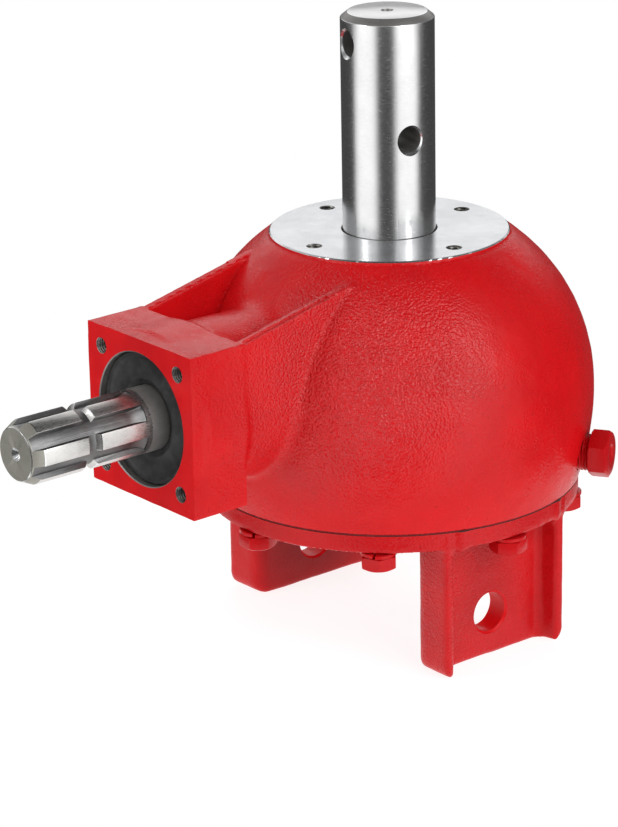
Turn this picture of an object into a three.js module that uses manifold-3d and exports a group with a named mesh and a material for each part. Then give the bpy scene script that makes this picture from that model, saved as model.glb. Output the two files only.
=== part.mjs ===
// Right-angle bevel gearbox for an earth auger: a ball-shaped cast housing, a cross-drilled output
// shaft standing up out of its machined face, a splined input shaft at a right angle to it, and a
// base cover with two pin lugs.  Millimetres, +Z up.
//
// Frame: the origin is on the output axis, on the underside of the base cover.
// +Z runs out along the output shaft and -Y runs out along the input shaft.

import * as THREE from 'three';
import { mergeVertices } from 'three/addons/utils/BufferGeometryUtils.js';
import Module from 'manifold-3d';

const wasm = await Module();
wasm.setup();

// ---- driving dimensions ---------------------------------------------------------------------

const GAP = 0.3;                 // running and assembly gap between neighbouring pieces
const INPUT_Z = 80;              // height of the input axis
const FACE_Z = 150.5;            // height of the machined output face
const FACE_R = 65.7;

const COVER_R = 104;
const COVER_T = 10;
const GASKET_T = 0.6;
const HOUSING_Z = COVER_T + GASKET_T + 2 * GAP;

const BELLY_R = 112.3;           // widest radius of the ball
const BELLY_Z = 61;
const CROWN_ARC = 106.5;         // profile radius above the belly
const SKIRT_ARC = 163;           // profile radius below the belly
const WALL = 9.5;
const RIM_BORE_R = 84;           // opening that the base cover closes
const RELIEF_R = 60;             // groove around the machined middle of the cover's underside
const RELIEF_DEPTH = 0.8;

const BOLT_RING_R = 96;
const BOLT_COUNT = 8;
const BOLT_R = 6;                // M12
const BOLT_HEAD_AF = 18;
const BOLT_HEAD_T = 7.5;
const BOLT_LENGTH = 28;
const WASHER_R = 10;
const WASHER_T = 2.4;

const FACE_HOLE_R = 4.25;        // tapped M10 holes in the output face
const FACE_HOLE_RING = 53;
const FACE_HOLE_DEPTH = 18;

const FLANGE_FRONT = 172;        // distance of the input flange's front face from the output axis
const FLANGE_T = 35;
const FLANGE_HALF = 44.3;
const FLANGE_HOLE_R = 4.25;
const FLANGE_HOLE_OFFSET = 32.8;
const FLANGE_HOLE_DEPTH = 20;
const NECK_R = 43.8;
const NECK_BORE_R = 36.3;
const NECK_LAND_R = 31.5;        // land between the two input bearings
const NECK_FROM = 60;            // distances from the output axis: where the neck starts, inside
const LAND_FROM = 117;           // the ball, and the two ends of the land
const LAND_TO = 140;

const RIB_T = 6.5;
const RIB_END = 61;              // distance of the ribs' upper end from the output axis
const RIB_TOP_Z = 141.7;

const SHAFT_R = 25.4;            // 2 in output shaft
const SHAFT_TOP_Z = 271;
const SHAFT_CHAMFER_R = 4.1;
const SHAFT_CHAMFER_Z = 3.3;
const CROSS_HOLE_R = 7;
const CROSS_HOLE_Z = [204.7, 255.5];
const CROSS_HOLE_TURN = -12.3;   // direction of the lower cross hole at rest, degrees
const FACE_BORE_R = 27;

const SPLINE_TIP = 251.3;        // distance of the input shaft's end from the output axis
const SPLINE_R = 17.46;          // 1-3/8 in, six splines
const SPLINE_ROOT_R = 14.8;
const SPLINE_WIDTH = 8.7;
const SPLINE_COUNT = 6;
const SPLINE_LENGTH = 62;
const SPLINE_TURN = 33;          // turn of the splines at rest, degrees
const DETENT_FROM_TIP = 38;
const DETENT_WIDTH = 8;

const MODULE = 4.75;
const PINION_TEETH = 11;
const CROWN_TEETH = 35;
const FACE_WIDTH = 26;
const PRESSURE = 20 * Math.PI / 180;
const PINION_ADDENDUM = 1.2 * MODULE;
const CROWN_ADDENDUM = 0.65 * MODULE;
const ROOT_CLEARANCE = 0.3 * MODULE;
const THICKNESS_SHIFT = 0.2 * MODULE;
const BACKLASH = 0.9;

const LUG_INNER_X = 68;          // inner faces of the two lugs
const LUG_WEB_X = 82;
const LUG_TIP_X = 94.5;
const LUG_HALF_Y = 44;
const LUG_RIB_ROOT_Y = 35.5;
const LUG_RIB_TIP_Y = 37.5;
const LUG_BOTTOM_Z = -76;
const LUG_CORNER_R = 9;
const LUG_HOLE_R = 11.3;
const LUG_HOLE_Z = -51;
const LUG_FILLET_R = 12;
const SPOTFACE_R = 12.5;

const PLUG_TURN = 33;            // direction of the level plug, degrees from +X
const PLUG_Z = 30.5;
const PLUG_THREAD_R = 10.2;
const PLUG_HEAD_FROM = 114.5;
const PLUG_HEAD_AF = 23.8;
const PLUG_HEAD_T = 10.5;
const PLUG_DEPTH = 19;

const BALL_SEGMENTS = 44;
const SHAFT_SEGMENTS = 24;       // shafts, bores and everything that sits between them
const HOLE_SEGMENTS = 10;

// ---- materials ------------------------------------------------------------------------------

function material(color, roughness, metalness) {
  return new THREE.MeshStandardMaterial({ color, roughness, metalness });
}

const redPaint = material(0xc81e22, 0.42, 0.0);
const coverPaint = material(0xc41f23, 0.42, 0.0);
const boltPaint = material(0xb92428, 0.4, 0.1);
const shaftSteel = material(0xb9bbbd, 0.28, 1.0);
const splineSteel = material(0x9c9c98, 0.34, 1.0);
const gearSteel = material(0x77787a, 0.42, 1.0);
const bearingSteel = material(0xa6a8ab, 0.24, 1.0);
const blackRubber = material(0x222325, 0.7, 0.0);
const gasketPaper = material(0x3b3a33, 0.9, 0.0);

// ---- helpers --------------------------------------------------------------------------------

const radians = THREE.MathUtils.degToRad;

// Closed mesh with shared vertices, outward faces and no collapsed triangles, as a solid.
function solid(geometry) {
  const bare = geometry.clone();
  bare.deleteAttribute('normal');
  bare.deleteAttribute('uv');
  const merged = mergeVertices(bare, 1e-4);
  const position = merged.attributes.position;
  const triangles = [];
  let volume = 0;
  const corner = [new THREE.Vector3(), new THREE.Vector3(), new THREE.Vector3()];
  for (let i = 0; i < merged.index.count; i += 3) {
    const ids = [0, 1, 2].map(k => merged.index.getX(i + k));
    if (ids[0] === ids[1] || ids[1] === ids[2] || ids[2] === ids[0]) continue;
    ids.forEach((id, k) => corner[k].fromBufferAttribute(position, id));
    volume += corner[0].dot(corner[1].clone().cross(corner[2]));
    triangles.push(ids);
  }
  if (volume < 0) triangles.forEach(t => t.reverse());
  return new wasm.Manifold(new wasm.Mesh({
    numProp: 3,
    vertProperties: new Float32Array(position.array),
    triVerts: new Uint32Array(triangles.flat()),
  }));
}

function geometryOf(shape) {
  const mesh = shape.getMesh();
  const geometry = new THREE.BufferGeometry();
  geometry.setAttribute('position', new THREE.BufferAttribute(mesh.vertProperties, 3));
  geometry.setIndex(new THREE.BufferAttribute(mesh.triVerts, 1));
  geometry.computeVertexNormals();
  return geometry;
}

function arc(cx, cy, radius, from, to, steps) {
  return Array.from({ length: steps + 1 }, (_, i) => {
    const angle = radians(from + (to - from) * i / steps);
    return [cx + radius * Math.cos(angle), cy + radius * Math.sin(angle)];
  });
}

// Profile of [radius, height] pairs turned about +Z.
function turned(profile, segments = SHAFT_SEGMENTS) {
  const points = profile.map(([r, z]) => new THREE.Vector2(r, z));
  return solid(new THREE.LatheGeometry(points, segments).rotateX(Math.PI / 2));
}

function ring(inner, outer, low, high, segments = SHAFT_SEGMENTS) {
  return turned([[inner, low], [outer, low], [outer, high], [inner, high], [inner, low]], segments);
}

function cylinder(radius, low, high, segments = HOLE_SEGMENTS) {
  return turned([[0, low], [radius, low], [radius, high], [0, high]], segments);
}

function outline(points) {
  return new THREE.Shape(points.map(([x, y]) => new THREE.Vector2(x, y)));
}

function extruded(points, low, high) {
  const geometry = new THREE.ExtrudeGeometry(outline(points), { depth: high - low, bevelEnabled: false });
  return solid(geometry.translate(0, 0, low));
}

function hexagon(acrossFlats) {
  return arc(0, 0, acrossFlats / Math.sqrt(3), 0, 300, 5);
}

function box(size, centre) {
  return solid(new THREE.BoxGeometry(...size).translate(...centre));
}

// Turns a shape made along +Z so that it runs out along the input shaft, -Y.
function alongInput(shape) {
  return shape.rotate([90, 0, 0]).translate([0, 0, INPUT_Z]);
}

// Turns a shape made along +Z so that it points outwards along a horizontal direction.
function alongRadius(shape, turn, height) {
  return shape.rotate([0, 90, 0]).rotate([0, 0, turn]).translate([0, 0, height]);
}

function around(shape, count, radius, start = 0) {
  return Array.from({ length: count }, (_, i) => {
    const turn = start + 360 * i / count;
    return shape.translate([radius, 0, 0]).rotate([0, 0, turn]);
  });
}

const joined = shapes => shapes.reduce((sum, shape) => sum.add(shape));
const group = new THREE.Group();

function piece(name, shape, look) {
  const mesh = new THREE.Mesh(geometryOf(shape), look);
  mesh.name = name;
  group.add(mesh);
}

// ---- housing --------------------------------------------------------------------------------

const crownArcX = BELLY_R - CROWN_ARC;
const skirtArcX = BELLY_R - SKIRT_ARC;
const angleAt = (height, radius) => THREE.MathUtils.radToDeg(Math.asin((height - BELLY_Z) / radius));
const SHOULDER_Z = FACE_Z - 2;
const UPPER_BEARING_Z = 112;
const SEAL_POCKET_Z = 133;
const SEAL_POCKET_R = 36.3;
const BEARING_POCKET_R = 44.8;
const LIP_Z = 144;
const ROOM_LOW_Z = 44;           // the gear room's rounded wall runs between these heights
const ROOM_HIGH_Z = 110;

function ballOutside() {
  const skirt = arc(skirtArcX, BELLY_Z, SKIRT_ARC, angleAt(HOUSING_Z, SKIRT_ARC), 0, 4);
  const crown = arc(crownArcX, BELLY_Z, CROWN_ARC, 0, angleAt(SHOULDER_Z, CROWN_ARC), 9).slice(1);
  return turned([[0, HOUSING_Z], ...skirt, ...crown, [FACE_R, SHOULDER_Z + 0.8], [FACE_R, FACE_Z], [0, FACE_Z]],
    BALL_SEGMENTS);
}

function ballInside() {
  const innerArc = CROWN_ARC - WALL;
  const roof = arc(crownArcX, BELLY_Z, innerArc, angleAt(ROOM_LOW_Z, innerArc), angleAt(ROOM_HIGH_Z, innerArc), 5);
  const throat = BEARING_POCKET_R + WALL + 3;
  return turned([[0, HOUSING_Z - 1], [RIM_BORE_R, HOUSING_Z - 1], [RIM_BORE_R, BOLT_LENGTH - 1], ...roof,
    [throat + 3, ROOM_HIGH_Z + 12], [throat, UPPER_BEARING_Z - 5], [0, UPPER_BEARING_Z - 5]], BALL_SEGMENTS);
}

function rib(side) {
  const flangeTop = INPUT_Z + FLANGE_HALF;
  const flangeBack = FLANGE_FRONT - FLANGE_T;
  const plate = extruded([[RIB_END, INPUT_Z], [flangeBack + 1, INPUT_Z], [flangeBack + 1, flangeTop],
    [flangeBack, flangeTop], [RIB_END, RIB_TOP_Z]], 0, RIB_T);
  const rightFace = side > 0 ? FLANGE_HALF : RIB_T - FLANGE_HALF;
  return plate.rotate([90, 0, -90]).translate([rightFace, 0, 0]);
}

function neckBore() {
  const inner = cylinder(NECK_BORE_R, NECK_FROM, LAND_FROM, SHAFT_SEGMENTS);
  const land = cylinder(NECK_LAND_R, NECK_FROM, FLANGE_FRONT + 1, SHAFT_SEGMENTS);
  const outer = cylinder(NECK_BORE_R, LAND_TO, FLANGE_FRONT + 1, SHAFT_SEGMENTS);
  const mouth = turned([[0, FLANGE_FRONT - 1.0], [NECK_BORE_R - 0.5, FLANGE_FRONT - 1.0],
    [NECK_BORE_R + 1.0, FLANGE_FRONT + 0.5], [0, FLANGE_FRONT + 0.5]], SHAFT_SEGMENTS);
  return alongInput(joined([inner, land, outer, mouth]));
}

function housing() {
  const flange = box([2 * FLANGE_HALF, FLANGE_T, 2 * FLANGE_HALF],
    [0, -FLANGE_FRONT + FLANGE_T / 2, INPUT_Z]);
  const neck = alongInput(cylinder(NECK_R, NECK_FROM, FLANGE_FRONT - 10, SHAFT_SEGMENTS));
  const faceHole = cylinder(FACE_HOLE_R, FACE_Z - FACE_HOLE_DEPTH, FACE_Z + 1);
  const flangeHole = cylinder(FLANGE_HOLE_R, FLANGE_FRONT - FLANGE_HOLE_DEPTH, FLANGE_FRONT + 1);
  const boltHole = cylinder(BOLT_R + GAP, HOUSING_Z - 1, BOLT_LENGTH);
  const plugHole = alongRadius(cylinder(PLUG_THREAD_R + GAP, 80, 130, 16), 0, PLUG_Z);
  const flangeHoles = [-1, 1].flatMap(x => [-1, 1].map(
    z => alongInput(flangeHole.translate([x * FLANGE_HOLE_OFFSET, z * FLANGE_HOLE_OFFSET, 0]))));
  const outputBores = [
    cylinder(BEARING_POCKET_R, 100, SEAL_POCKET_Z, SHAFT_SEGMENTS),
    cylinder(SEAL_POCKET_R, 100, LIP_Z, SHAFT_SEGMENTS),
    cylinder(FACE_BORE_R, 100, FACE_Z + 1, SHAFT_SEGMENTS),
  ];
  const casting = joined([ballOutside(), neck, flange, rib(1), rib(-1)]);
  const cuts = joined([ballInside(), neckBore(), ...outputBores, ...flangeHoles,
    ...around(faceHole, 4, FACE_HOLE_RING), ...around(boltHole, BOLT_COUNT, BOLT_RING_R),
    plugHole.rotate([0, 0, PLUG_TURN]), plugHole.rotate([0, 0, 180 - PLUG_TURN])]);
  return casting.subtract(cuts);
}

piece('housing', housing(), redPaint);

// ---- base cover with its two lugs ------------------------------------------------------------

const LOWER_BEARING_Z = 11.3;
const LOWER_BEARING_T = 19.6;
const LOWER_BEARING_R = 36.7;
const SEAT_R = 46;               // outside of the lower bearing's seat
const SPIGOT_R = 76;             // inside of the ring that centres the cover in the housing
const SPIGOT_T = 6;

function lug() {
  const channel = [
    ...arc(LUG_INNER_X + 10, -LUG_HALF_Y + 10, 10, 180, 270, 4),
    ...arc(LUG_TIP_X - 2.5, -LUG_HALF_Y + 2.5, 2.5, 270, 360, 2),
    ...arc(LUG_TIP_X - 2.5, -LUG_RIB_TIP_Y - 2.5, 2.5, 0, 90, 2),
    ...arc(LUG_WEB_X + 4, -LUG_RIB_ROOT_Y + 4, 4, 270, 180, 2),
  ];
  const mirrored = channel.map(([x, y]) => [x, -y]).reverse();
  const post = extruded([...channel, ...mirrored], LUG_BOTTOM_Z, 1);
  const side = [
    ...arc(-LUG_HALF_Y + LUG_CORNER_R, LUG_BOTTOM_Z + LUG_CORNER_R, LUG_CORNER_R, 180, 270, 4),
    ...arc(LUG_HALF_Y - LUG_CORNER_R, LUG_BOTTOM_Z + LUG_CORNER_R, LUG_CORNER_R, 270, 360, 4),
    [LUG_HALF_Y, 2], [-LUG_HALF_Y, 2],
  ];
  const rounded = extruded(side, 60, 100).rotate([90, 0, 90]);
  const filletEdge = arc(LUG_FILLET_R, -LUG_FILLET_R, LUG_FILLET_R, 90, 180, 4);
  const fillet = extruded([...filletEdge, [-1, -LUG_FILLET_R], [-1, 1], [LUG_FILLET_R, 1]],
    -LUG_RIB_TIP_Y, LUG_RIB_TIP_Y).rotate([90, 0, 0]).translate([LUG_WEB_X, 0, 0]);
  const pinHole = alongRadius(cylinder(LUG_HOLE_R, 60, 100, 24), 0, LUG_HOLE_Z);
  const spotface = cylinder(SPOTFACE_R, -30, 0, 16).translate([BOLT_RING_R, 0, 0]);
  return post.intersect(rounded).add(fillet).subtract(pinHole).subtract(spotface);
}

function baseCover() {
  const disc = turned([[0, 0], [COVER_R - 1, 0], [COVER_R, 1], [COVER_R, COVER_T], [0, COVER_T]], BALL_SEGMENTS);
  const seat = cylinder(SEAT_R, COVER_T - 1, LOWER_BEARING_Z + LOWER_BEARING_T, SHAFT_SEGMENTS);
  const pocket = cylinder(LOWER_BEARING_R + GAP, LOWER_BEARING_Z - GAP, 40, SHAFT_SEGMENTS);
  const spigot = ring(SPIGOT_R, RIM_BORE_R - GAP, COVER_T - 1, COVER_T + SPIGOT_T, BALL_SEGMENTS);
  const hole = cylinder(BOLT_R + GAP, -1, COVER_T + 1);
  const reliefGroove = ring(RELIEF_R, RELIEF_R + 2, -1, RELIEF_DEPTH, BALL_SEGMENTS);
  return joined([disc, seat, spigot, lug(), lug().rotate([0, 0, 180])])
    .subtract(joined([pocket, reliefGroove, ...around(hole, BOLT_COUNT, BOLT_RING_R)]));
}

piece('base_cover', baseCover(), coverPaint);

const gasketHoles = around(cylinder(BOLT_R + GAP, 0, 20), BOLT_COUNT, BOLT_RING_R);
piece('cover_gasket',
  ring(RIM_BORE_R, COVER_R - 0.5, COVER_T + GAP, COVER_T + GAP + GASKET_T, BALL_SEGMENTS)
    .subtract(joined(gasketHoles)), gasketPaper);

function coverBolt() {
  const seat = -WASHER_T - 2 * GAP;
  const head = extruded(hexagon(BOLT_HEAD_AF), seat - BOLT_HEAD_T, seat);
  const chamfer = turned([[0, seat - BOLT_HEAD_T], [BOLT_HEAD_AF / 2, seat - BOLT_HEAD_T],
    [BOLT_HEAD_AF / 2 + 3, seat - BOLT_HEAD_T + 2], [BOLT_HEAD_AF / 2 + 3, seat], [0, seat]], 12);
  return head.intersect(chamfer).add(cylinder(BOLT_R, seat - 1, BOLT_LENGTH - GAP - 1));
}

around(coverBolt(), BOLT_COUNT, BOLT_RING_R).forEach((bolt, i) => {
  piece(`cover_bolt_${i + 1}`, bolt, boltPaint);
});

const lockWasher = ring(BOLT_R + GAP, WASHER_R, -WASHER_T - GAP, -GAP, 12);
around(lockWasher, BOLT_COUNT, BOLT_RING_R).forEach((washer, i) => {
  piece(`lock_washer_${i + 1}`, washer, boltPaint);
});

// ---- oil plugs -------------------------------------------------------------------------------

function plug() {
  const from = PLUG_HEAD_FROM;
  const to = from + PLUG_HEAD_T;
  const head = extruded(hexagon(PLUG_HEAD_AF), from, to);
  const corner = PLUG_HEAD_AF / Math.sqrt(3);
  const chamfer = turned([[0, from], [corner, from], [corner, to - 1.5], [PLUG_HEAD_AF / 2 - 0.5, to], [0, to]], 24);
  const thread = cylinder(PLUG_THREAD_R, from - PLUG_DEPTH, from + 1, 20);
  return head.intersect(chamfer).add(thread);
}

piece('level_plug', alongRadius(plug(), PLUG_TURN, PLUG_Z), boltPaint);
piece('filler_plug', alongRadius(plug(), 180 - PLUG_TURN, PLUG_Z), boltPaint);

// ---- bevel gears -----------------------------------------------------------------------------

const pinionAngle = Math.atan(PINION_TEETH / CROWN_TEETH);
const crownAngle = Math.PI / 2 - pinionAngle;
const coneLength = MODULE * CROWN_TEETH / 2 / Math.sin(crownAngle);
const innerScale = (coneLength - FACE_WIDTH) / coneLength;
const pinionDedendum = CROWN_ADDENDUM + ROOT_CLEARANCE;
const crownDedendum = PINION_ADDENDUM + ROOT_CLEARANCE;

// Half-thickness of an involute tooth at a height above the pitch line, on the back cone.
function halfThickness(teeth, angle, thickness, height) {
  const pitch = MODULE * teeth / 2 / Math.cos(angle);
  const base = pitch * Math.cos(PRESSURE);
  const radius = Math.max(pitch + height, base);
  const involute = phi => Math.tan(phi) - phi;
  const phi = Math.acos(base / radius);
  return radius * (thickness / 2 / pitch + involute(PRESSURE) - involute(phi));
}

// One tooth, centred on +X, whose section shrinks towards the cone's tip at the origin.
// The gear's axis is +Z, away from the tip.
function tooth(teeth, angle, addendum, dedendum, thickness) {
  const heights = [-dedendum, 0, ...(teeth < 20 ? [addendum / 2] : []), addendum];
  const flank = heights.map(h => [halfThickness(teeth, angle, thickness, h), h]);
  flank[0][1] = -dedendum - 1.5;
  const section = [...flank, ...flank.map(([x, y]) => [-x, y]).reverse()];
  const geometry = new THREE.ExtrudeGeometry(outline(section), { depth: 1, bevelEnabled: false });
  const position = geometry.attributes.position;
  for (let i = 0; i < position.count; i++) {
    const scale = 1 + (innerScale - 1) * position.getZ(i);
    const across = position.getX(i);
    const up = position.getY(i);
    const radius = coneLength * Math.sin(angle) + up * Math.cos(angle);
    const axial = coneLength * Math.cos(angle) - up * Math.sin(angle);
    position.setXYZ(i, scale * radius, scale * across, scale * axial);
  }
  return solid(geometry);
}

// Radius and axial place of the tooth root line, at the outer or inner end of the teeth.
function rootPoint(angle, dedendum, scale) {
  return [scale * (coneLength * Math.sin(angle) - dedendum * Math.cos(angle)),
    scale * (coneLength * Math.cos(angle) + dedendum * Math.sin(angle))];
}

const halfPitch = Math.PI * MODULE / 2;
const KEY_HALF = 6;
const SHAFT_SEAT_R = 25;

function crownGear() {
  const [outR, outA] = rootPoint(crownAngle, crownDedendum, 1);
  const [inR, inA] = rootPoint(crownAngle, crownDedendum, innerScale);
  const outZ = INPUT_Z - outA;
  const inZ = INPUT_Z - inA;
  const bore = SHAFT_SEAT_R + GAP;
  const blank = turned([[bore, 36], [40, 36], [44, 38], [outR - 6, 38], [outR, outZ - 4], [outR, outZ],
    [inR, inZ], [inR - 4, 50], [40, 50], [38, 57], [bore, 57], [bore, 36]], CROWN_TEETH);
  const one = tooth(CROWN_TEETH, crownAngle, CROWN_ADDENDUM, crownDedendum,
    halfPitch - THICKNESS_SHIFT - BACKLASH / 2);
  const upright = one.rotate([180, 0, 0]).translate([0, 0, INPUT_Z]);
  const keyway = box([6, 2 * KEY_HALF, 30], [bore + 1.8, 0, 47]);
  return blank.add(joined(around(upright, CROWN_TEETH, 0, -90))).subtract(keyway);
}

piece('crown_gear', crownGear(), gearSteel);
piece('crown_key', box([8, 2 * (KEY_HALF - GAP), 19], [SHAFT_SEAT_R - 0.2, 0, 46.5]), gearSteel);

// ---- output shaft ----------------------------------------------------------------------------

const COLLAR_R = 31;
const LOWER_JOURNAL_R = 20.6;

function outputShaft() {
  const top = SHAFT_TOP_Z;
  const body = turned([[0, 12], [LOWER_JOURNAL_R - 1, 12], [LOWER_JOURNAL_R - GAP, 13], [LOWER_JOURNAL_R - GAP, 33],
    [SHAFT_SEAT_R, 33.5], [SHAFT_SEAT_R, 57.3], [COLLAR_R, 57.3], [COLLAR_R, 64], [28.5, 66],
    [28.5, UPPER_BEARING_Z - GAP], [SHAFT_R, UPPER_BEARING_Z - GAP], [SHAFT_R, top - SHAFT_CHAMFER_Z],
    [SHAFT_R - SHAFT_CHAMFER_R, top], [3.4, top], [1.2, top - 4], [1.2, top - 8], [0, top - 8]]);
  const hole = cylinder(CROSS_HOLE_R, -40, 40, 20);
  const rim = turned([[0, SHAFT_R - 1.4], [CROSS_HOLE_R - 0.1, SHAFT_R - 1.4], [CROSS_HOLE_R + 1.5, SHAFT_R + 0.2],
    [0, SHAFT_R + 0.2]], 20);
  const drilled = CROSS_HOLE_Z.flatMap((z, i) => {
    const turn = CROSS_HOLE_TURN - 90 * i;
    return [alongRadius(hole, turn, z), alongRadius(rim, turn, z), alongRadius(rim, turn + 180, z)];
  });
  const keyway = box([9, 2 * KEY_HALF, 20], [SHAFT_SEAT_R, 0, 46.5]);
  return body.subtract(joined(drilled)).subtract(keyway);
}

piece('output_shaft', outputShaft(), shaftSteel);
piece('crown_spacer', ring(LOWER_JOURNAL_R + 0.2, 27, 31.3, 32.7), bearingSteel);

// ---- bearings --------------------------------------------------------------------------------

// A tapered roller bearing standing on its small end at z = low: two races, and its rollers in
// their cage.  `opens` is 1 where the rollers lean outwards towards +Z, -1 where they lean the
// other way.
function bearing(name, bore, outside, low, width, opens, place) {
  const depth = outside - bore;
  const lean = 0.12 * depth;
  const cone = bore + 0.36 * depth;
  const cup = outside - 0.3 * depth;
  const flip = shape => (opens > 0 ? shape : shape.mirror([0, 0, 1]).translate([0, 0, 2 * low + width]));
  const high = low + width;
  const innerRace = turned([[bore + GAP, low], [cone - lean + 2, low], [cone - lean + 2, low + 1.5],
    [cone - lean, low + 1.5], [cone + lean, high - 2], [cone + lean + 2.5, high - 2], [cone + lean + 2.5, high],
    [bore + GAP, high], [bore + GAP, low]], SHAFT_SEGMENTS);
  const outerRace = turned([[cup - lean, low], [outside, low], [outside, high], [cup + lean, high],
    [cup - lean, low]], SHAFT_SEGMENTS);
  const middle = (cone + cup) / 2;
  const half = (cup - cone) / 2 - 2.5 * GAP;
  const length = width - 5.5;
  const tilt = THREE.MathUtils.radToDeg(Math.atan2(2 * lean, width - 3));
  const roller = cylinder(half, -length / 2, length / 2, 6).rotate([0, tilt, 0])
    .translate([middle, 0, low + width / 2]);
  const slope = 2 * lean / width;
  const web = (z, r) => [middle + slope * (z - width / 2) + r, low + z];
  const cage = turned([web(2.6, -0.7), web(2.6, 0.7), web(width - 2.6, 0.7), web(width - 2.6, -0.7),
    web(2.6, -0.7)], SHAFT_SEGMENTS);
  const rollers = joined([cage, ...around(roller, 10, 0)]);
  piece(`${name}_inner_race`, place(flip(innerRace)), bearingSteel);
  piece(`${name}_outer_race`, place(flip(outerRace)), bearingSteel);
  piece(`${name}_rollers`, place(flip(rollers)), bearingSteel);
}

const asBuilt = shape => shape;
bearing('upper_bearing', SHAFT_R, 44.45, UPPER_BEARING_Z, 20.6, -1, asBuilt);
bearing('lower_bearing', LOWER_JOURNAL_R, LOWER_BEARING_R, LOWER_BEARING_Z, LOWER_BEARING_T, 1, asBuilt);

const INPUT_JOURNAL_R = 17.5;
const INNER_BEARING = 98.6;
const OUTER_BEARING = 140.4;
const INPUT_BEARING_T = 18;
bearing('inner_bearing', INPUT_JOURNAL_R, 36, INNER_BEARING, INPUT_BEARING_T, -1, alongInput);
bearing('outer_bearing', INPUT_JOURNAL_R, 36, OUTER_BEARING, INPUT_BEARING_T, 1, alongInput);

// ---- input shaft with its pinion -------------------------------------------------------------

const SNAP_RING = OUTER_BEARING + INPUT_BEARING_T + GAP;
const SNAP_RING_T = 2;

function splineValley() {
  const middleWidth = 2 * SPLINE_ROOT_R * Math.sin(Math.PI / SPLINE_COUNT) - SPLINE_WIDTH;
  const outerWidth = middleWidth + 2 * (SPLINE_R + 2 - SPLINE_ROOT_R) * Math.tan(Math.PI / SPLINE_COUNT);
  const section = [[SPLINE_ROOT_R, -middleWidth / 2], [SPLINE_R + 2, -outerWidth / 2],
    [SPLINE_R + 2, outerWidth / 2], [SPLINE_ROOT_R, middleWidth / 2]];
  const from = SPLINE_TIP - SPLINE_LENGTH;
  const slot = extruded(section, from, SPLINE_TIP + 1);
  const runOut = solid(new THREE.CylinderGeometry(26, 26, outerWidth, 24));
  return slot.add(runOut.translate([SPLINE_ROOT_R + 26, 0, from])
    .intersect(extruded(section, from - 14, from + 0.5)));
}

function pinionShaft() {
  const [outR, outA] = rootPoint(pinionAngle, pinionDedendum, 1);
  const [inR, inA] = rootPoint(pinionAngle, pinionDedendum, innerScale);
  const detent = SPLINE_TIP - DETENT_FROM_TIP;
  const groove = [[SPLINE_R, detent - DETENT_WIDTH / 2], [SPLINE_ROOT_R, detent - DETENT_WIDTH / 4],
    [SPLINE_ROOT_R, detent + DETENT_WIDTH / 4], [SPLINE_R, detent + DETENT_WIDTH / 2]];
  const journal = INPUT_JOURNAL_R;
  const blank = turned([[0, inA - 2], [inR - 2, inA - 2], [inR, inA], [outR, outA], [outR, outA + 4],
    [22, 92], [22, INNER_BEARING - GAP], [journal, INNER_BEARING - GAP], [journal, SNAP_RING],
    [journal - 1, SNAP_RING], [journal - 1, SNAP_RING + SNAP_RING_T + GAP],
    [journal, SNAP_RING + SNAP_RING_T + GAP], [journal, 176], [SPLINE_R, 177],
    ...groove, [SPLINE_R, SPLINE_TIP - 6.5], [14.2, SPLINE_TIP], [3.2, SPLINE_TIP],
    [1.2, SPLINE_TIP - 4], [0, SPLINE_TIP - 4]]);
  const one = tooth(PINION_TEETH, pinionAngle, PINION_ADDENDUM, pinionDedendum,
    halfPitch + THICKNESS_SHIFT - BACKLASH / 2);
  const valleys = joined(around(splineValley(), SPLINE_COUNT, 0, SPLINE_TURN));
  return blank.subtract(valleys).add(joined(around(one, PINION_TEETH, 0, 90)));
}

piece('pinion_shaft', alongInput(pinionShaft()), splineSteel);
piece('bearing_spacer', alongInput(ring(INPUT_JOURNAL_R + GAP, 21.5, INNER_BEARING + INPUT_BEARING_T + GAP,
  OUTER_BEARING - GAP)), bearingSteel);
piece('shaft_snap_ring', alongInput(ring(INPUT_JOURNAL_R - 0.7, 20.8, SNAP_RING + 0.15,
  SNAP_RING + SNAP_RING_T)), bearingSteel);

// ---- shaft seals -----------------------------------------------------------------------------

function lipSeal(shaftRadius, outside, low, high) {
  const lip = shaftRadius + GAP + 0.1;
  return turned([[lip, high - 3.5], [shaftRadius + 4, high - 1], [outside - 3.5, high - 1],
    [outside - 2.5, high], [outside, high], [outside, low], [outside - 3, low], [outside - 3, high - 4],
    [shaftRadius + 3, high - 4], [lip, low + 3], [lip, high - 3.5]]);
}

piece('output_seal', lipSeal(SHAFT_R, 36, SEAL_POCKET_Z + GAP, LIP_Z - GAP), blackRubber);
piece('input_seal', alongInput(lipSeal(INPUT_JOURNAL_R, 36, SNAP_RING + SNAP_RING_T + GAP, 168.5)), blackRubber);

export default group;
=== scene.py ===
import math

import bpy
import numpy as np
from mathutils import Matrix, Vector


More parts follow.
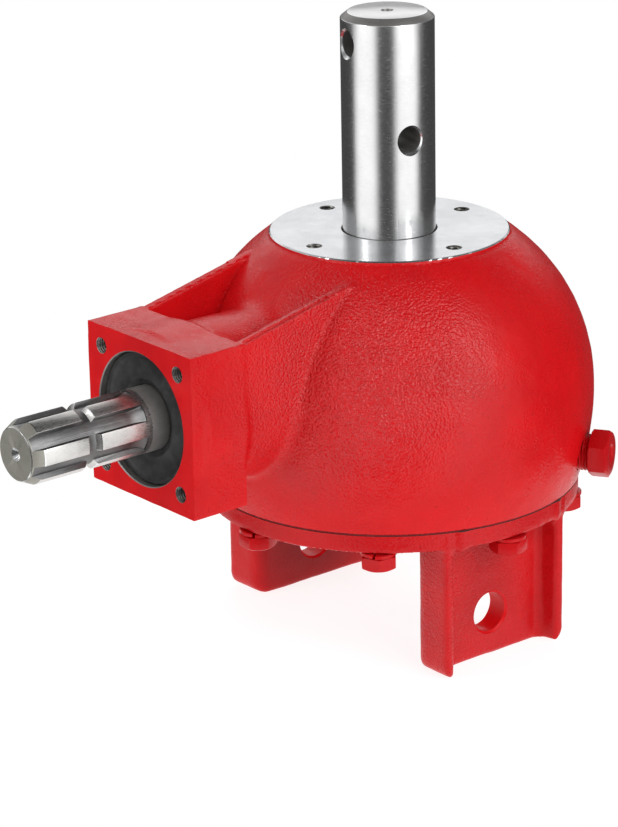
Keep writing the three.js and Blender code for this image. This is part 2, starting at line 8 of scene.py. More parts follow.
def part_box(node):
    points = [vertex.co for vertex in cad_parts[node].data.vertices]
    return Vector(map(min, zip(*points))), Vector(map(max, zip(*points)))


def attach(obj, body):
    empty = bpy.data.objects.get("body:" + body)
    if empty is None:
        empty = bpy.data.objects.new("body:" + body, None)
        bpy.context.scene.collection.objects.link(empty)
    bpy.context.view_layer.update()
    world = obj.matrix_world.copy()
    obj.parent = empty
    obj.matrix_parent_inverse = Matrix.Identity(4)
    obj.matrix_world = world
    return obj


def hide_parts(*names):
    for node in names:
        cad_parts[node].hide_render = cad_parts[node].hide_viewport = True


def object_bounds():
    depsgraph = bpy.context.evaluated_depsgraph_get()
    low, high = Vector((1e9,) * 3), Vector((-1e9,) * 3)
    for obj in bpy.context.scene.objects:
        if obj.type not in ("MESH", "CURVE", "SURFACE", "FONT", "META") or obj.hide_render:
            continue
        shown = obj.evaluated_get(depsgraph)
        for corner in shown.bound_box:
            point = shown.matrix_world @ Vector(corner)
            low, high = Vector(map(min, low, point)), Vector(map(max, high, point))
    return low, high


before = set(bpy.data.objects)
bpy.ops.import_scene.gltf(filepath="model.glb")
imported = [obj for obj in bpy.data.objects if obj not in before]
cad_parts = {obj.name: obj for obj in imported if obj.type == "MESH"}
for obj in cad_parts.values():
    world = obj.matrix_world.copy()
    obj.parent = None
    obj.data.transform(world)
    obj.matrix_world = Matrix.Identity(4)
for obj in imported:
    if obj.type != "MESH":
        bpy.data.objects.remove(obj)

# The looks of a right-angle bevel gearbox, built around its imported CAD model.
# Shapes are written in millimetres in the CAD frame and scaled to metres when a mesh is made.

MM = 0.001
cad_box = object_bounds()


def extent(node):
    """Lowest and highest corner of a CAD node, in millimetres."""
    low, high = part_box(node)
    return np.array(low) / MM, np.array(high) / MM


housing_low, housing_high = extent("housing")
cover_low, cover_high = extent("base_cover")
shaft_high = extent("output_shaft")[1]
pinion_low = extent("pinion_shaft")[0]
input_seal_low, input_seal_high = extent("input_seal")
output_seal_low, output_seal_high = extent("output_seal")
bolt_low, bolt_high = extent("cover_bolt_1")
washer_low, washer_high = extent("lock_washer_1")
GAP = 0.3

INPUT_Z = (input_seal_low[2] + input_seal_high[2]) / 2
BOLT_RING = 96
BOLT_COUNT = 8
BOLT_BORE = 6.3
SEAL_R = 36.0
PLUG_Z = 30.5
PLUG_TURNS = {"level_plug": 33, "filler_plug": 147}

# ---- shapes: (vertices, faces, material index of each face), in millimetres -------------------


def circle_angles(count):
    return np.arange(count) * 2 * math.pi / count


def lathe(profile, segments=96, looks=None):
    """Closed solid turned about Z. profile is (radius, height) pairs: a ring's closed loop, or a
    line from the axis back to the axis. looks gives one material index per stretch of profile."""
    on_axis = profile[0][0] == 0 and profile[-1][0] == 0
    points = list(profile) if on_axis else list(profile[:-1])
    angles = circle_angles(segments)
    vertices, rows = [], []
    for radius, height in points:
        if radius == 0:
            rows.append([len(vertices)] * segments)
            vertices.append((0.0, 0.0, height))
        else:
            rows.append(list(range(len(vertices), len(vertices) + segments)))
            vertices += [(radius * math.cos(a), radius * math.sin(a), height) for a in angles]
    area = sum(a[0] * b[1] - b[0] * a[1] for a, b in zip(points, points[1:] + points[:1]))
    stretches = len(points) - 1 if on_axis else len(points)
    faces, mats = [], []
    for s in range(stretches):
        a, b = rows[s], rows[(s + 1) % len(rows)]
        for i in range(segments):
            j = (i + 1) % segments
            ring = [a[i], a[j], b[j], b[i]]
            face = [v for k, v in enumerate(ring) if v != ring[k - 1]]
            if len(face) > 2:
                faces.append(face if area > 0 else face[::-1])
                mats.append(looks[s] if looks else 0)
    return np.array(vertices), faces, mats


def loft(sections, look=0):
    """Closed solid through a row of sections, each with the same number of 3-D points."""
    count = len(sections[0])
    vertices = np.concatenate([np.asarray(s, float) for s in sections])
    faces = [list(range(count))[::-1]]
    for s in range(len(sections) - 1):
        for i in range(count):
            j = (i + 1) % count
            faces.append([s * count + i, s * count + j, (s + 1) * count + j, (s + 1) * count + i])
    last = (len(sections) - 1) * count
    faces.append(list(range(last, last + count)))
    return outward((vertices, faces, [look] * len(faces)))


def outward(shape):
    """The same shape with its faces turned outwards."""
    vertices, faces, mats = shape
    volume = 0.0
    for face in faces:
        for k in range(1, len(face) - 1):
            a, b, c = vertices[face[0]], vertices[face[k]], vertices[face[k + 1]]
            volume += np.dot(a, np.cross(b, c))
    if volume < 0:
        faces = [face[::-1] for face in faces]
    return vertices, faces, mats


def prism(outline, low, high, look=0):
    return loft([[(x, y, z) for x, y in outline] for z in (low, high)], look)


def threaded(crest, root, pitch, low, high, fade, look=0, segments=48, steps=10):
    """Cylinder along Z with a helical thread, which fades out near both ends."""
    count = int((high - low) / pitch * steps)
    heights = np.linspace(low, high, count + 1)
    angles = circle_angles(segments)
    phase = (heights[:, None] / pitch - angles[None, :] / (2 * math.pi)) % 1
    rise = np.clip(np.abs(2 * phase - 1) * 1.35 - 0.15, 0, 1)
    ends = np.clip(np.minimum(heights - low, high - heights) / fade, 0, 1)[:, None]
    radius = crest + (root - crest) * (1 - rise) * ends
    wall = np.stack([radius * np.cos(angles), radius * np.sin(angles),
                     np.broadcast_to(heights[:, None], radius.shape)], -1)
    return loft(list(wall), look)


def moved(shape, matrix):
    vertices, faces, mats = shape
    m = np.array(matrix)
    turned = vertices @ m[:3, :3].T + m[:3, 3]
    return turned, faces, mats


def turned(shape, degrees, axis="Z"):
    return moved(shape, Matrix.Rotation(math.radians(degrees), 4, axis))


def shifted(shape, x=0.0, y=0.0, z=0.0):
    return moved(shape, Matrix.Translation((x, y, z)))


def along_input(shape):
    """Turns a shape made along +Z so that it runs out along the input shaft, -Y."""
    return shifted(turned(shape, 90, "X"), z=INPUT_Z)


def along_radius(shape, turn, height):
    """Turns a shape made along +Z so that it points outwards along a horizontal direction."""
    return shifted(turned(turned(shape, 90, "Y"), turn), z=height)


def around(shape, count, radius, start=0.0):
    return [turned(shifted(shape, x=radius), start + 360 * i / count) for i in range(count)]


def several(shapes):
    """Shapes that don't touch, as one."""
    vertices, faces, mats, base = [], [], [], 0
    for v, f, m in shapes:
        vertices.append(v)
        faces += [[i + base for i in face] for face in f]
        mats += m
        base += len(v)
    return np.concatenate(vertices), faces, mats


# ---- meshes ------------------------------------------------------------------------------------


def make_object(name, shape, materials):
    vertices, faces, mats = shape
    mesh = bpy.data.meshes.new(name)
    mesh.from_pydata((vertices * MM).tolist(), [], [list(map(int, f)) for f in faces])
    for material in materials:
        mesh.materials.append(material)
    mesh.polygons.foreach_set("material_index", np.array(mats, np.int32))
    mesh.update()
    piece = bpy.data.objects.new(name, mesh)
    bpy.context.scene.collection.objects.link(piece)
    return piece


def apply_modifiers(piece):
    graph = bpy.context.evaluated_depsgraph_get()
    mesh = bpy.data.meshes.new_from_object(piece.evaluated_get(graph))
    old = piece.data
    piece.modifiers.clear()
    piece.data = mesh
    bpy.data.meshes.remove(old)


def combine(piece, shapes, operation="DIFFERENCE"):
    """Cuts each shape from piece, or joins or intersects it, with solid geometry."""
    for shape in shapes:
        tool = make_object("tool", shape, list(piece.data.materials))
        boolean = piece.modifiers.new("cut", "BOOLEAN")
        boolean.operation = operation
        boolean.solver = "MANIFOLD"
        boolean.object = tool
        apply_modifiers(piece)
        bpy.data.objects.remove(tool)
    return piece


def bevel(piece, width, segments=2, angle=35):
    soften = piece.modifiers.new("bevel", "BEVEL")
    soften.width = width * MM
    soften.segments = segments
    soften.limit_method = "ANGLE"
    soften.angle_limit = math.radians(angle)
    soften.use_clamp_overlap = True
    soften.harden_normals = False
    apply_modifiers(piece)
    return piece


def finished(piece, body, slot, *nodes, sharp=32):
    """Smooth shading with crisp edges, and the piece's place in the frame."""
    mesh = piece.data
    mesh.polygons.foreach_set("use_smooth", np.ones(len(mesh.polygons), bool))
    mesh.set_sharp_from_angle(angle=math.radians(sharp))
    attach(piece, body)
    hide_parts(*nodes)
    return piece


# ---- cast skins from distance fields -----------------------------------------------------------


def blend(a, b, radius):
    """Union of two distance fields with a round fillet."""
    inner = np.maximum(radius - a, 0), np.maximum(radius - b, 0)
    return np.maximum(np.minimum(a, b), radius) - np.hypot(*inner)


def trim(a, b, radius):
    """Intersection of two distance fields with a round edge."""
    return -blend(-a, -b, radius)


def block(x, y, z, centre, half, edge):
    q = [np.abs(v - c) - h + edge for v, c, h in zip((x, y, z), centre, half)]
    outside = np.sqrt(sum(np.maximum(v, 0) ** 2 for v in q))
    return outside + np.minimum(np.maximum(np.maximum(q[0], q[1]), q[2]), 0) - edge


def undulation(x, y, z, wavelength, seed):
    """Smooth random field between -1 and 1."""
    side = 32
    lattice = np.random.default_rng(seed).uniform(-1, 1, (side, side, side))
    total = 0.0
    cell, part = [], []
    for v in (x, y, z):
        scaled = v / wavelength + 100.5
        whole = np.floor(scaled).astype(int)
        f = scaled - whole
        cell.append(whole)
        part.append(f * f * (3 - 2 * f))
    for corner in range(8):
        bits = [(corner >> k) & 1 for k in range(3)]
        weight = 1.0
        for k in range(3):
            weight = weight * (part[k] if bits[k] else 1 - part[k])
        index = tuple((cell[k] + bits[k]) % side for k in range(3))
        total = total + weight * lattice[index]
    return total


def slope(field, points, reach=0.04):
    columns = []
    for axis in range(3):
        step = np.zeros(3)
        step[axis] = reach
        columns.append(field(points + step) - field(points - step))
    gradient = np.stack(columns, -1)
    return gradient / np.maximum(np.linalg.norm(gradient, axis=1, keepdims=True), 1e-9)


def skin(field, low, high, step):
    """Dual-contoured surface of field = 0, which keeps creases crisp and fillets smooth."""
    axes = [np.arange(a - 2 * step, b + 2 * step, step) for a, b in zip(low, high)]
    size = np.array([len(a) for a in axes])
    grid = np.stack(np.meshgrid(*axes, indexing="ij"), -1)
    value = np.concatenate([field(slab.reshape(-1, 3)) for slab in grid]).reshape(size)
    cell_ids, points, normals, quads = [], [], [], []
    for axis in range(3):
        near = [slice(None)] * 3
        far = [slice(None)] * 3
        near[axis], far[axis] = slice(None, -1), slice(1, None)
        first, second = value[tuple(near)], value[tuple(far)]
        where = np.argwhere((first < 0) != (second < 0))
        f0, f1 = first[tuple(where.T)], second[tuple(where.T)]
        start = grid[tuple(where.T)]
        t = f0 / (f0 - f1)
        point = start.copy()
        point[:, axis] += t * step
        middle = field(point)
        same = (middle < 0) == (f0 < 0)
        t = np.where(same, t + (1 - t) * middle / np.where(same, middle - f1, 1),
                     t * f0 / np.where(same, 1, f0 - middle))
        point[:, axis] = start[:, axis] + np.clip(t, 0, 1) * step
        normal = slope(field, point)
        u, w = (axis + 1) % 3, (axis + 2) % 3
        loop = []
        for du, dw in ((-1, -1), (0, -1), (0, 0), (-1, 0)):
            cell = where.copy()
            cell[:, u] += du
            cell[:, w] += dw
            ids = np.ravel_multi_index(cell.T, size)
            loop.append(ids)
            cell_ids.append(ids)
            points.append(point)
            normals.append(normal)
        loop = np.stack(loop, -1)
        quads.append(np.where((f0 < 0)[:, None], loop, loop[:, ::-1]))
    cell_ids = np.concatenate(cell_ids)
    points, normals = np.concatenate(points), np.concatenate(normals)
    cells, slot_of = np.unique(cell_ids, return_inverse=True)
    count = np.bincount(slot_of).astype(float)

    def gathered(weights):
        return np.stack([np.bincount(slot_of, weights=w, minlength=len(cells)) for w in weights.T], -1)

    mass = gathered(points) / count[:, None]
    offset = np.einsum("ij,ij->i", normals, points - mass[slot_of])
    right = gathered(normals * offset[:, None])
    outer = gathered(np.einsum("ij,ik->ijk", normals, normals).reshape(-1, 9)).reshape(-1, 3, 3)
    outer += 0.06 * count[:, None, None] * np.eye(3)
    shift = np.linalg.solve(outer, right[:, :, None])[:, :, 0]
    vertices = mass + np.clip(shift, -0.8 * step, 0.8 * step)
    for _ in range(2):
        vertices -= np.clip(field(vertices), -0.3 * step, 0.3 * step)[:, None] * slope(field, vertices)
    faces = np.searchsorted(cells, np.concatenate(quads))
    return vertices, faces.tolist(), [0] * len(faces)


# ---- materials ---------------------------------------------------------------------------------


class Look:
    """A procedural material. Textures use the mesh's own coordinates, in metres."""

    def __init__(self, name, color, roughness, metallic=0.0, **constants):
        self.material = bpy.data.materials.new(name)
        self.material.use_nodes = True
        self.tree = self.material.node_tree
        self.shader = self.tree.nodes["Principled BSDF"]
        self.place = self.tree.nodes.new("ShaderNodeTexCoord").outputs["Object"]
        self.set("Base Color", (*color, 1.0))
        self.set("Roughness", roughness)
        self.set("Metallic", metallic)
        self.normal = None
        for key, number in constants.items():
            self.set(key.replace("_", " "), number)

    def set(self, socket, value):
        self.shader.inputs[socket].default_value = value

    def node(self, kind, **inputs):
        made = self.tree.nodes.new(kind)
        for key, value in inputs.items():
            self.feed(made.inputs[key.replace("_", " ")], value)
        return made

    def feed(self, socket, value):
        if isinstance(value, bpy.types.NodeSocket):
            self.tree.links.new(value, socket)
        else:
            socket.default_value = value

    def stretched(self, scale):
        made = self.tree.nodes.new("ShaderNodeMapping")
        self.tree.links.new(self.place, made.inputs["Vector"])
        made.inputs["Scale"].default_value = scale
        return made.outputs["Vector"]

    def noise(self, size, detail=3.0, rough=0.55, place=None, distortion=0.0):
        """Noise whose grain is about size millimetres wide."""
        made = self.node("ShaderNodeTexNoise", Vector=place or self.place, Scale=1 / (size * MM),
                         Detail=detail, Roughness=rough, Distortion=distortion)
        return made.outputs["Fac"]

    def cells(self, size, randomness=1.0):
        made = self.node("ShaderNodeTexVoronoi", Vector=self.place, Scale=1 / (size * MM),
                         Randomness=randomness)
        made.feature = "SMOOTH_F1"
        return made.outputs["Distance"]

    def remap(self, value, a, b, c=0.0, d=1.0):
        made = self.node("ShaderNodeMapRange", Value=value)
        for key, number in zip(("From Min", "From Max", "To Min", "To Max"), (a, b, c, d)):
            made.inputs[key].default_value = number
        return made.outputs["Result"]

    def math(self, operation, a, b):
        made = self.tree.nodes.new("ShaderNodeMath")
        made.operation = operation
        self.feed(made.inputs[0], a)
        self.feed(made.inputs[1], b)
        return made.outputs["Value"]

    def mix(self, factor, a, b):
        made = self.tree.nodes.new("ShaderNodeMix")
        made.data_type = "RGBA"
        self.feed(made.inputs[0], factor)
        self.feed(made.inputs[6], a if isinstance(a, bpy.types.NodeSocket) else (*a, 1.0))
        self.feed(made.inputs[7], b if isinstance(b, bpy.types.NodeSocket) else (*b, 1.0))
        return made.outputs[2]

    def near(self, point, inner, outer):
        """1 inside a ball of radius inner about point, falling to 0 at outer, in millimetres."""
        made = self.tree.nodes.new("ShaderNodeVectorMath")
        made.operation = "DISTANCE"
        self.tree.links.new(self.place, made.inputs[0])
        made.inputs[1].default_value = tuple(v * MM for v in point)
        return self.remap(made.outputs["Value"], inner * MM, outer * MM, 1.0, 0.0)

    def color(self, socket):
        self.tree.links.new(socket, self.shader.inputs["Base Color"])
        return self

    def roughness(self, socket):
        self.tree.links.new(socket, self.shader.inputs["Roughness"])
        return self

    def bump(self, height, depth, strength=1.0):
        """Adds relief: height from 0 to 1 stands for depth millimetres."""
        made = self.node("ShaderNodeBump", Height=height, Strength=strength, Distance=depth * MM)
        if self.normal is not None:
            self.tree.links.new(self.normal, made.inputs["Normal"])
        self.normal = made.outputs["Normal"]
        self.tree.links.new(self.normal, self.shader.inputs["Normal"])
        return self


def cast_paint(name, pebble, fine, sand_at=(66, -78, 100), painted_shade_factor=1.0,
               painted_shade_radius=0, glint=0.25):
    """Glossy red enamel over a sand casting: pebbled where the sand was coarse, with optional painted shade:
    a darker colour overall and a dark patch under the cover.
    """
    look = Look(name, (0.7, 0.006, 0.008), 0.28, Specular_IOR_Level=0.25)
    drift = look.noise(38, 3)
    # The shade factor scales the base colour down: painted shade for the lower parts.
    base = look.mix(look.remap(drift, 0.3, 0.7), (0.6 * painted_shade_factor, 0.005, 0.008), (0.73 * painted_shade_factor, 0.007, 0.01))
    pits = look.remap(look.noise(2.1, 2, 0.6), 0.24, 0.36, 1.0, 0.0)
    base = look.mix(look.math("MULTIPLY", pits, 0.4), base, (0.25, 0.004, 0.007))
    base = look.mix(look.remap(look.noise(7, 4, 0.6), 0.62, 0.8, 0.0, 0.2), base, (0.8, 0.02, 0.022))
    # Painted shade: the colour darkens between the lugs under the cover, within the given radius of a point
    # 40 mm below its middle.
    if painted_shade_radius:
        inside = look.near((0, 0, -40), painted_shade_radius - 15, painted_shade_radius)
        base = look.mix(look.math("MULTIPLY", inside, 0.8), base, (0.2, 0.004, 0.006))
    look.color(base)
    look.roughness(look.remap(look.noise(5, 3), 0.3, 0.7, 0.25, 0.36))
    sand = look.near(sand_at, 30, 85)
    look.feed(look.shader.inputs["Specular IOR Level"], look.remap(sand, 0.0, 1.0, 0.2, glint))
    patches = look.remap(look.noise(26, 2), 0.42, 0.62, 0.0, 1.0)
    sand = look.math("MAXIMUM", sand, look.math("MULTIPLY", patches, 0.3))
    grain = look.remap(look.cells(1.15), 0.05, 0.7, 1.0, 0.0)
    grain = look.math("ADD", grain, look.math("MULTIPLY", look.noise(1.3, 2, 0.5), 0.5))
    look.bump(look.math("MULTIPLY", grain, sand), pebble)
    look.bump(look.noise(0.9, 2, 0.6), fine)
    look.bump(look.noise(9, 2), 0.25)
    return look.material


def smooth_paint(name):
    """The same enamel over a machined face."""
    look = Look(name, (0.72, 0.006, 0.008), 0.34, Specular_IOR_Level=0.22)
    look.color(look.mix(look.remap(look.noise(14, 3), 0.35, 0.7), (0.68, 0.006, 0.01), (0.78, 0.009, 0.012)))
    look.roughness(look.remap(look.noise(6, 3), 0.3, 0.7, 0.3, 0.42))
    look.bump(look.noise(1.8, 3, 0.6), 0.05)
    look.bump(look.noise(0.5, 2), 0.02)
    return look.material


def worn_steel(name, color, roughness, grain, depth, along=(1, 1, 1), dirt=0.3, **constants):
    """Bare steel with tool marks: grain millimetres wide across, stretched where along is small."""
    look = Look(name, color, roughness, 1.0, **constants)
    marks = look.noise(grain, 3, 0.6, look.stretched(along))
    cloud = look.noise(16, 4, 0.6)
    dark = tuple(c * (1 - dirt) for c in color)
    base = look.mix(look.remap(cloud, 0.35, 0.75), dark, color)
    base = look.mix(look.remap(marks, 0.35, 0.65, 0.0, 0.35), base, tuple(min(1, c * 1.15) for c in color))
    look.color(base)
    look.roughness(look.remap(marks, 0.3, 0.7, roughness * 0.8, roughness * 1.25))
    look.bump(marks, depth)
    return look.material


def faced_steel(name, color, roughness):
    """A lathe-faced surface: fine circular feed marks about the output axis."""
    look = Look(name, color, roughness, 0.88)
    rings = look.tree.nodes.new("ShaderNodeTexWave")
    rings.wave_type = "RINGS"
    rings.rings_direction = "Z"
    look.tree.links.new(look.place, rings.inputs["Vector"])
    for key, number in (("Scale", 420.0), ("Distortion", 0.6), ("Detail", 2.0), ("Detail Scale", 2.0)):
        rings.inputs[key].default_value = number
    cloud = look.noise(22, 4, 0.6)
    dark = tuple(c * 0.82 for c in color)
    look.color(look.mix(look.remap(cloud, 0.35, 0.7), dark, color))
    look.roughness(look.remap(look.noise(5, 3), 0.3, 0.7, roughness * 0.85, roughness * 1.2))
    look.bump(rings.outputs["Fac"], 0.012)
    look.bump(look.noise(0.6, 2), 0.01)
    return look.material


def rubber(name):
    look = Look(name, (0.017, 0.017, 0.018), 0.5)
    look.color(look.mix(look.remap(look.noise(6, 4), 0.4, 0.7), (0.012, 0.012, 0.013), (0.035, 0.034, 0.034)))
    look.roughness(look.remap(look.noise(2, 3), 0.3, 0.7, 0.42, 0.62))
    look.bump(look.noise(0.7, 3), 0.06)
    return look.material


def paper(name):
    look = Look(name, (0.06, 0.055, 0.045), 0.9)
    look.color(look.mix(look.noise(1.5, 4), (0.1, 0.01, 0.01), (0.28, 0.01, 0.012)))
    look.roughness(look.remap(look.noise(3, 3), 0.3, 0.7, 0.8, 0.95))
    look.bump(look.noise(0.4, 3), 0.08)
    return look.material


CAST = cast_paint("enamel_on_casting", 0.62, 0.05, glint=0.5)
# The cover's enamel carries painted shade: a darker copy overall and a dark patch between the lugs.
COVER = cast_paint("enamel_on_cover", 0.3, 0.08, (80, -40, -30), 0.85, 86)
PAINTED = smooth_paint("enamel_on_machined_face")
# The fasteners' enamel is a darker copy too: painted shade.
FASTENER = cast_paint("enamel_on_fasteners", 0.06, 0.05, painted_shade_factor=0.85)
FACED = faced_steel("faced_iron", (0.62, 0.63, 0.65), 0.18)
EDGE = worn_steel("bright_edge", (0.82, 0.83, 0.84), 0.22, 0.6, 0.01)
TAPPED = worn_steel("tapped_thread", (0.34, 0.33, 0.31), 0.34, 0.5, 0.02, dirt=0.5)
BORED = worn_steel("bored_iron", (0.32, 0.31, 0.3), 0.4, 0.5, 0.03, dirt=0.4, Metallic=0.6)
GROUND = worn_steel("ground_shaft", (0.66, 0.66, 0.66), 0.22, 0.35, 0.004, (0.12, 0.12, 1), 0.12)
SHAFT_END = worn_steel("shaft_end", (0.68, 0.68, 0.68), 0.3, 0.5, 0.01, dirt=0.15)
JOURNAL = worn_steel("ground_journal", (0.5, 0.48, 0.46), 0.42, 0.4, 0.004, (0.15, 0.15, 1), 0.2,
                     Metallic=0.72)
TURNED = worn_steel("turned_end", (0.4, 0.39, 0.34), 0.4, 0.5, 0.02, dirt=0.25, Metallic=0.5)
CREST = worn_steel("spline_crest", (0.7, 0.69, 0.67), 0.3, 0.4, 0.01, (1, 0.15, 1), 0.25)
VALLEY = worn_steel("spline_valley", (0.2, 0.2, 0.2), 0.36, 0.5, 0.02, (1, 0.1, 1), 0.4)
GEAR = worn_steel("gear_steel", (0.34, 0.34, 0.35), 0.38, 0.8, 0.02, dirt=0.35)
BEARING = worn_steel("bearing_steel", (0.6, 0.61, 0.63), 0.2, 0.5, 0.006, dirt=0.15)
RUBBER = rubber("nitrile_rubber")
PAPER = paper("gasket_paper")

# ---- housing -----------------------------------------------------------------------------------

HOUSING_STEP = 1.57
BELLY_R = housing_high[0]
BELLY_Z = 61.0
CROWN_ARC = 106.5
SKIRT_ARC = 163.0
HOUSING_Z = housing_low[2]
FACE_Z = housing_high[2]
FACE_R = 65.7
FLANGE_FRONT = -housing_low[1]
FLANGE_T = 35.0
FLANGE_HALF = 44.3
FLANGE_BACK = FLANGE_FRONT - FLANGE_T
NECK_R = 43.8
RIB_T = 6.5
RIB_END = 62.5
RIB_TOP_Z = 141.4
FLANGE_TOP = INPUT_Z + FLANGE_HALF
FLANGE_HOLE = 32.8
FACE_HOLE_RING = 53
TAPPED_SIZE = (4.5, 3.9, 0.3)
BORE_R = SEAL_R + GAP
RIB_RISE = math.atan2(RIB_TOP_Z - FLANGE_TOP, FLANGE_BACK - RIB_END)


def rib(x, y, z, side):
    """A web from the flange up to the ball, slightly thicker towards its foot."""
    below_top = (z - FLANGE_TOP) * math.cos(RIB_RISE) - (y + FLANGE_BACK) * math.sin(RIB_RISE)
    draft = 0.04 * np.maximum(-below_top, 0)
    across = x * side
    body = trim(np.maximum(across - FLANGE_HALF, FLANGE_HALF - RIB_T - draft - across), below_top, 1.2)
    body = trim(body, y + RIB_END, 1.2)
    return np.maximum(body, np.maximum(-y - FLANGE_FRONT, INPUT_Z - z))


def parting_step(side):
    """Cutter for the step where the mould halves met along the top of a rib."""
    rise = math.tan(RIB_RISE)
    inner, outer = FLANGE_HALF - RIB_T * 0.52, FLANGE_HALF + 2
    sections = []
    for y in (-FLANGE_BACK + 0.8, -79):
        top = FLANGE_TOP + (y + FLANGE_BACK) * rise
        step = [(inner, -0.25), (inner + 0.4, -1.1), (outer, -0.75), (outer, 4), (inner, 4)]
        sections.append([(side * across, y, top + up) for across, up in step])
    return loft(sections)


def housing_field(points):
    x, y, z = points.T
    radius = np.hypot(x, y)
    crown = np.hypot(radius - (BELLY_R - CROWN_ARC), z - BELLY_Z) - CROWN_ARC
    skirt = np.hypot(radius - (BELLY_R - SKIRT_ARC), z - BELLY_Z) - SKIRT_ARC
    ball = np.where(z > BELLY_Z, crown, skirt)
    ball = trim(ball, z - FACE_Z + 1.6, 2.0)
    boss = np.maximum(radius - FACE_R, np.maximum(z - FACE_Z - 3, 60 - z))
    ball = blend(ball, boss, 1.2)
    neck = np.hypot(x, z - INPUT_Z) - NECK_R
    neck = np.maximum(neck, np.maximum(-y - FLANGE_FRONT + 12, y + 40))
    flange = block(x, y, z, (0, -FLANGE_FRONT + FLANGE_T / 2 - 2, INPUT_Z),
                   (FLANGE_HALF, FLANGE_T / 2 + 2, FLANGE_HALF), 0.7)
    neck = blend(neck, flange, 5.5)
    rough = 0.16 * undulation(x, y, z, 16, 5) + 0.1 * undulation(x, y, z, 5.5, 6)
    calm = np.clip((FACE_Z - 2 - z) / 6, 0, 1) * np.clip((z - HOUSING_Z) / 4, 0, 1)
    body = blend(ball, neck, 4.5) + rough * calm
    body = blend(body, np.minimum(rib(x, y, z, 1), rib(x, y, z, -1)), 1.2)
    return np.maximum(body, HOUSING_Z - z)


def face_cutter():
    top = FACE_Z
    return lathe([(0, top), (FACE_R - 0.7, top), (FACE_R + 0.35, top - 1.0), (FACE_R + 6, top - 1.0),
                  (FACE_R + 6, top + 9), (0, top + 9)], 192, [2, 3, 0, 0, 2])


def tapped_hole(low, high, root, crest, rim):
    """Cutter for a threaded hole along Z whose mouth is at high."""
    hole = threaded(crest, root, 1.5, low, high + 0.6, 1.2, look=4, segments=24, steps=6)
    mouth = lathe([(0, high - rim), (root - 0.35, high - rim), (root + rim, high + 0.4), (0, high + 0.4)],
                  32, [4, 4, 4])
    return hole, mouth


def make_housing():
    low = housing_low - (1, 6, 0)
    piece = make_object("housing_casting", skin(housing_field, low, housing_high + (1, 1, 2), HOUSING_STEP),
                        [CAST, PAINTED, FACED, EDGE, TAPPED, BORED])
    front = shifted(prism([(-60, -30), (60, -30), (60, 0), (-60, 0)], -60, 60, 1), y=-FLANGE_FRONT, z=INPUT_Z)
    cavity = lathe([(0, HOUSING_Z - 1), (84, HOUSING_Z - 1), (84, 27), (100, 50), (102, 66), (98, 92),
                    (86, 108), (70, 116), (57, 107), (0, 107)], 64, [5] * 9)
    bearing_pocket = lathe([(0, 100), (44.8, 100), (44.8, 133), (BORE_R, 133), (BORE_R, 144), (26, 144),
                            (26, FACE_Z - 0.4), (26.5, FACE_Z + 0.1), (26.5, FACE_Z + 1),
                            (0, FACE_Z + 1)], 96, [5] * 9)
    neck_bore = lathe([(0, 60), (BORE_R, 60), (BORE_R, 117), (31.5, 117), (31.5, 140), (BORE_R, 140),
                       (BORE_R, FLANGE_FRONT - 0.5), (36.9, FLANGE_FRONT + 0.05), (36.9, FLANGE_FRONT + 3),
                       (0, FLANGE_FRONT + 3)], 128, [5] * 9)
    combine(piece, [face_cutter(), front, cavity, bearing_pocket, along_input(neck_bore),
                    several([parting_step(1), parting_step(-1)])])
    for hole in tapped_hole(FACE_Z - 18, FACE_Z, *TAPPED_SIZE):
        combine(piece, [several(around(hole, 4, FACE_HOLE_RING))])
    for hole in tapped_hole(FLANGE_FRONT - 20, FLANGE_FRONT, *TAPPED_SIZE):
        places = [(a * FLANGE_HOLE, b * FLANGE_HOLE) for a in (-1, 1) for b in (-1, 1)]
        combine(piece, [several([along_input(shifted(hole, *place)) for place in places])])
    bolt_hole = lathe([(0, HOUSING_Z - 1), (BOLT_BORE, HOUSING_Z - 1), (BOLT_BORE, 28), (0, 28)], 24, [4] * 3)
    plug_hole = lathe([(0, 80), (10.5, 80), (10.5, 130), (0, 130)], 48, [4] * 3)
    combine(piece, [several(around(bolt_hole, BOLT_COUNT, BOLT_RING)),
                    several([along_radius(plug_hole, turn, PLUG_Z) for turn in PLUG_TURNS.values()])])
    return finished(piece, "casing", "housing_paint", "housing", sharp=38)


make_housing()

# ---- base cover with its two lugs --------------------------------------------------------------

COVER_R = cover_high[1]
COVER_T = 10.0
LUG_INNER, LUG_WEB, LUG_TIP = 68.0, 82.0, 94.5
LUG_HALF = 44.0
LUG_BOTTOM = cover_low[2]
PIN_HOLE, PIN_Z = 11.3, -51
SEAT_R, SEAT_TOP = 46, 30.9
SPIGOT_IN, SPIGOT_OUT = 76, 83.7
RELIEF_R = 60


def lug_field(x, y, z):
    across = np.abs(y)
    plan = trim(LUG_INNER - x, across - LUG_HALF, 9.5)
    plan = trim(plan, x - LUG_TIP, 2.5)
    flare = 35.5 + 2.0 * np.clip((x - LUG_WEB) / 12, 0, 1)
    channel = trim(LUG_WEB - x, across - flare, 4.0)
    plan = trim(plan, -channel, 2.2)
    sides = trim(LUG_BOTTOM - z, across - LUG_HALF, 9.0)
    return np.maximum(trim(plan, sides, 3.0), z - 6)


def cover_field(points):
    x, y, z = points.T
    radius = np.hypot(x, y)
    disc = trim(radius - COVER_R, -z, 1.6)
    disc = np.maximum(disc, z - COVER_T - 2)
    lugs = np.minimum(lug_field(x, y, z), lug_field(-x, y, z))
    outside = np.clip((np.abs(x) - LUG_WEB + 6) / 6, 0, 1) * np.clip((38 - np.abs(y)) / 4, 0, 1)
    body = blend(disc, lugs, 3.0)
    thick = blend(disc, lugs, 12.0)
    body = body + (thick - body) * outside
    rough = 0.2 * undulation(x, y, z, 14, 8) + 0.12 * undulation(x, y, z, 5, 9)
    return body + rough * np.clip((6 - z) / 4, 0, 1)


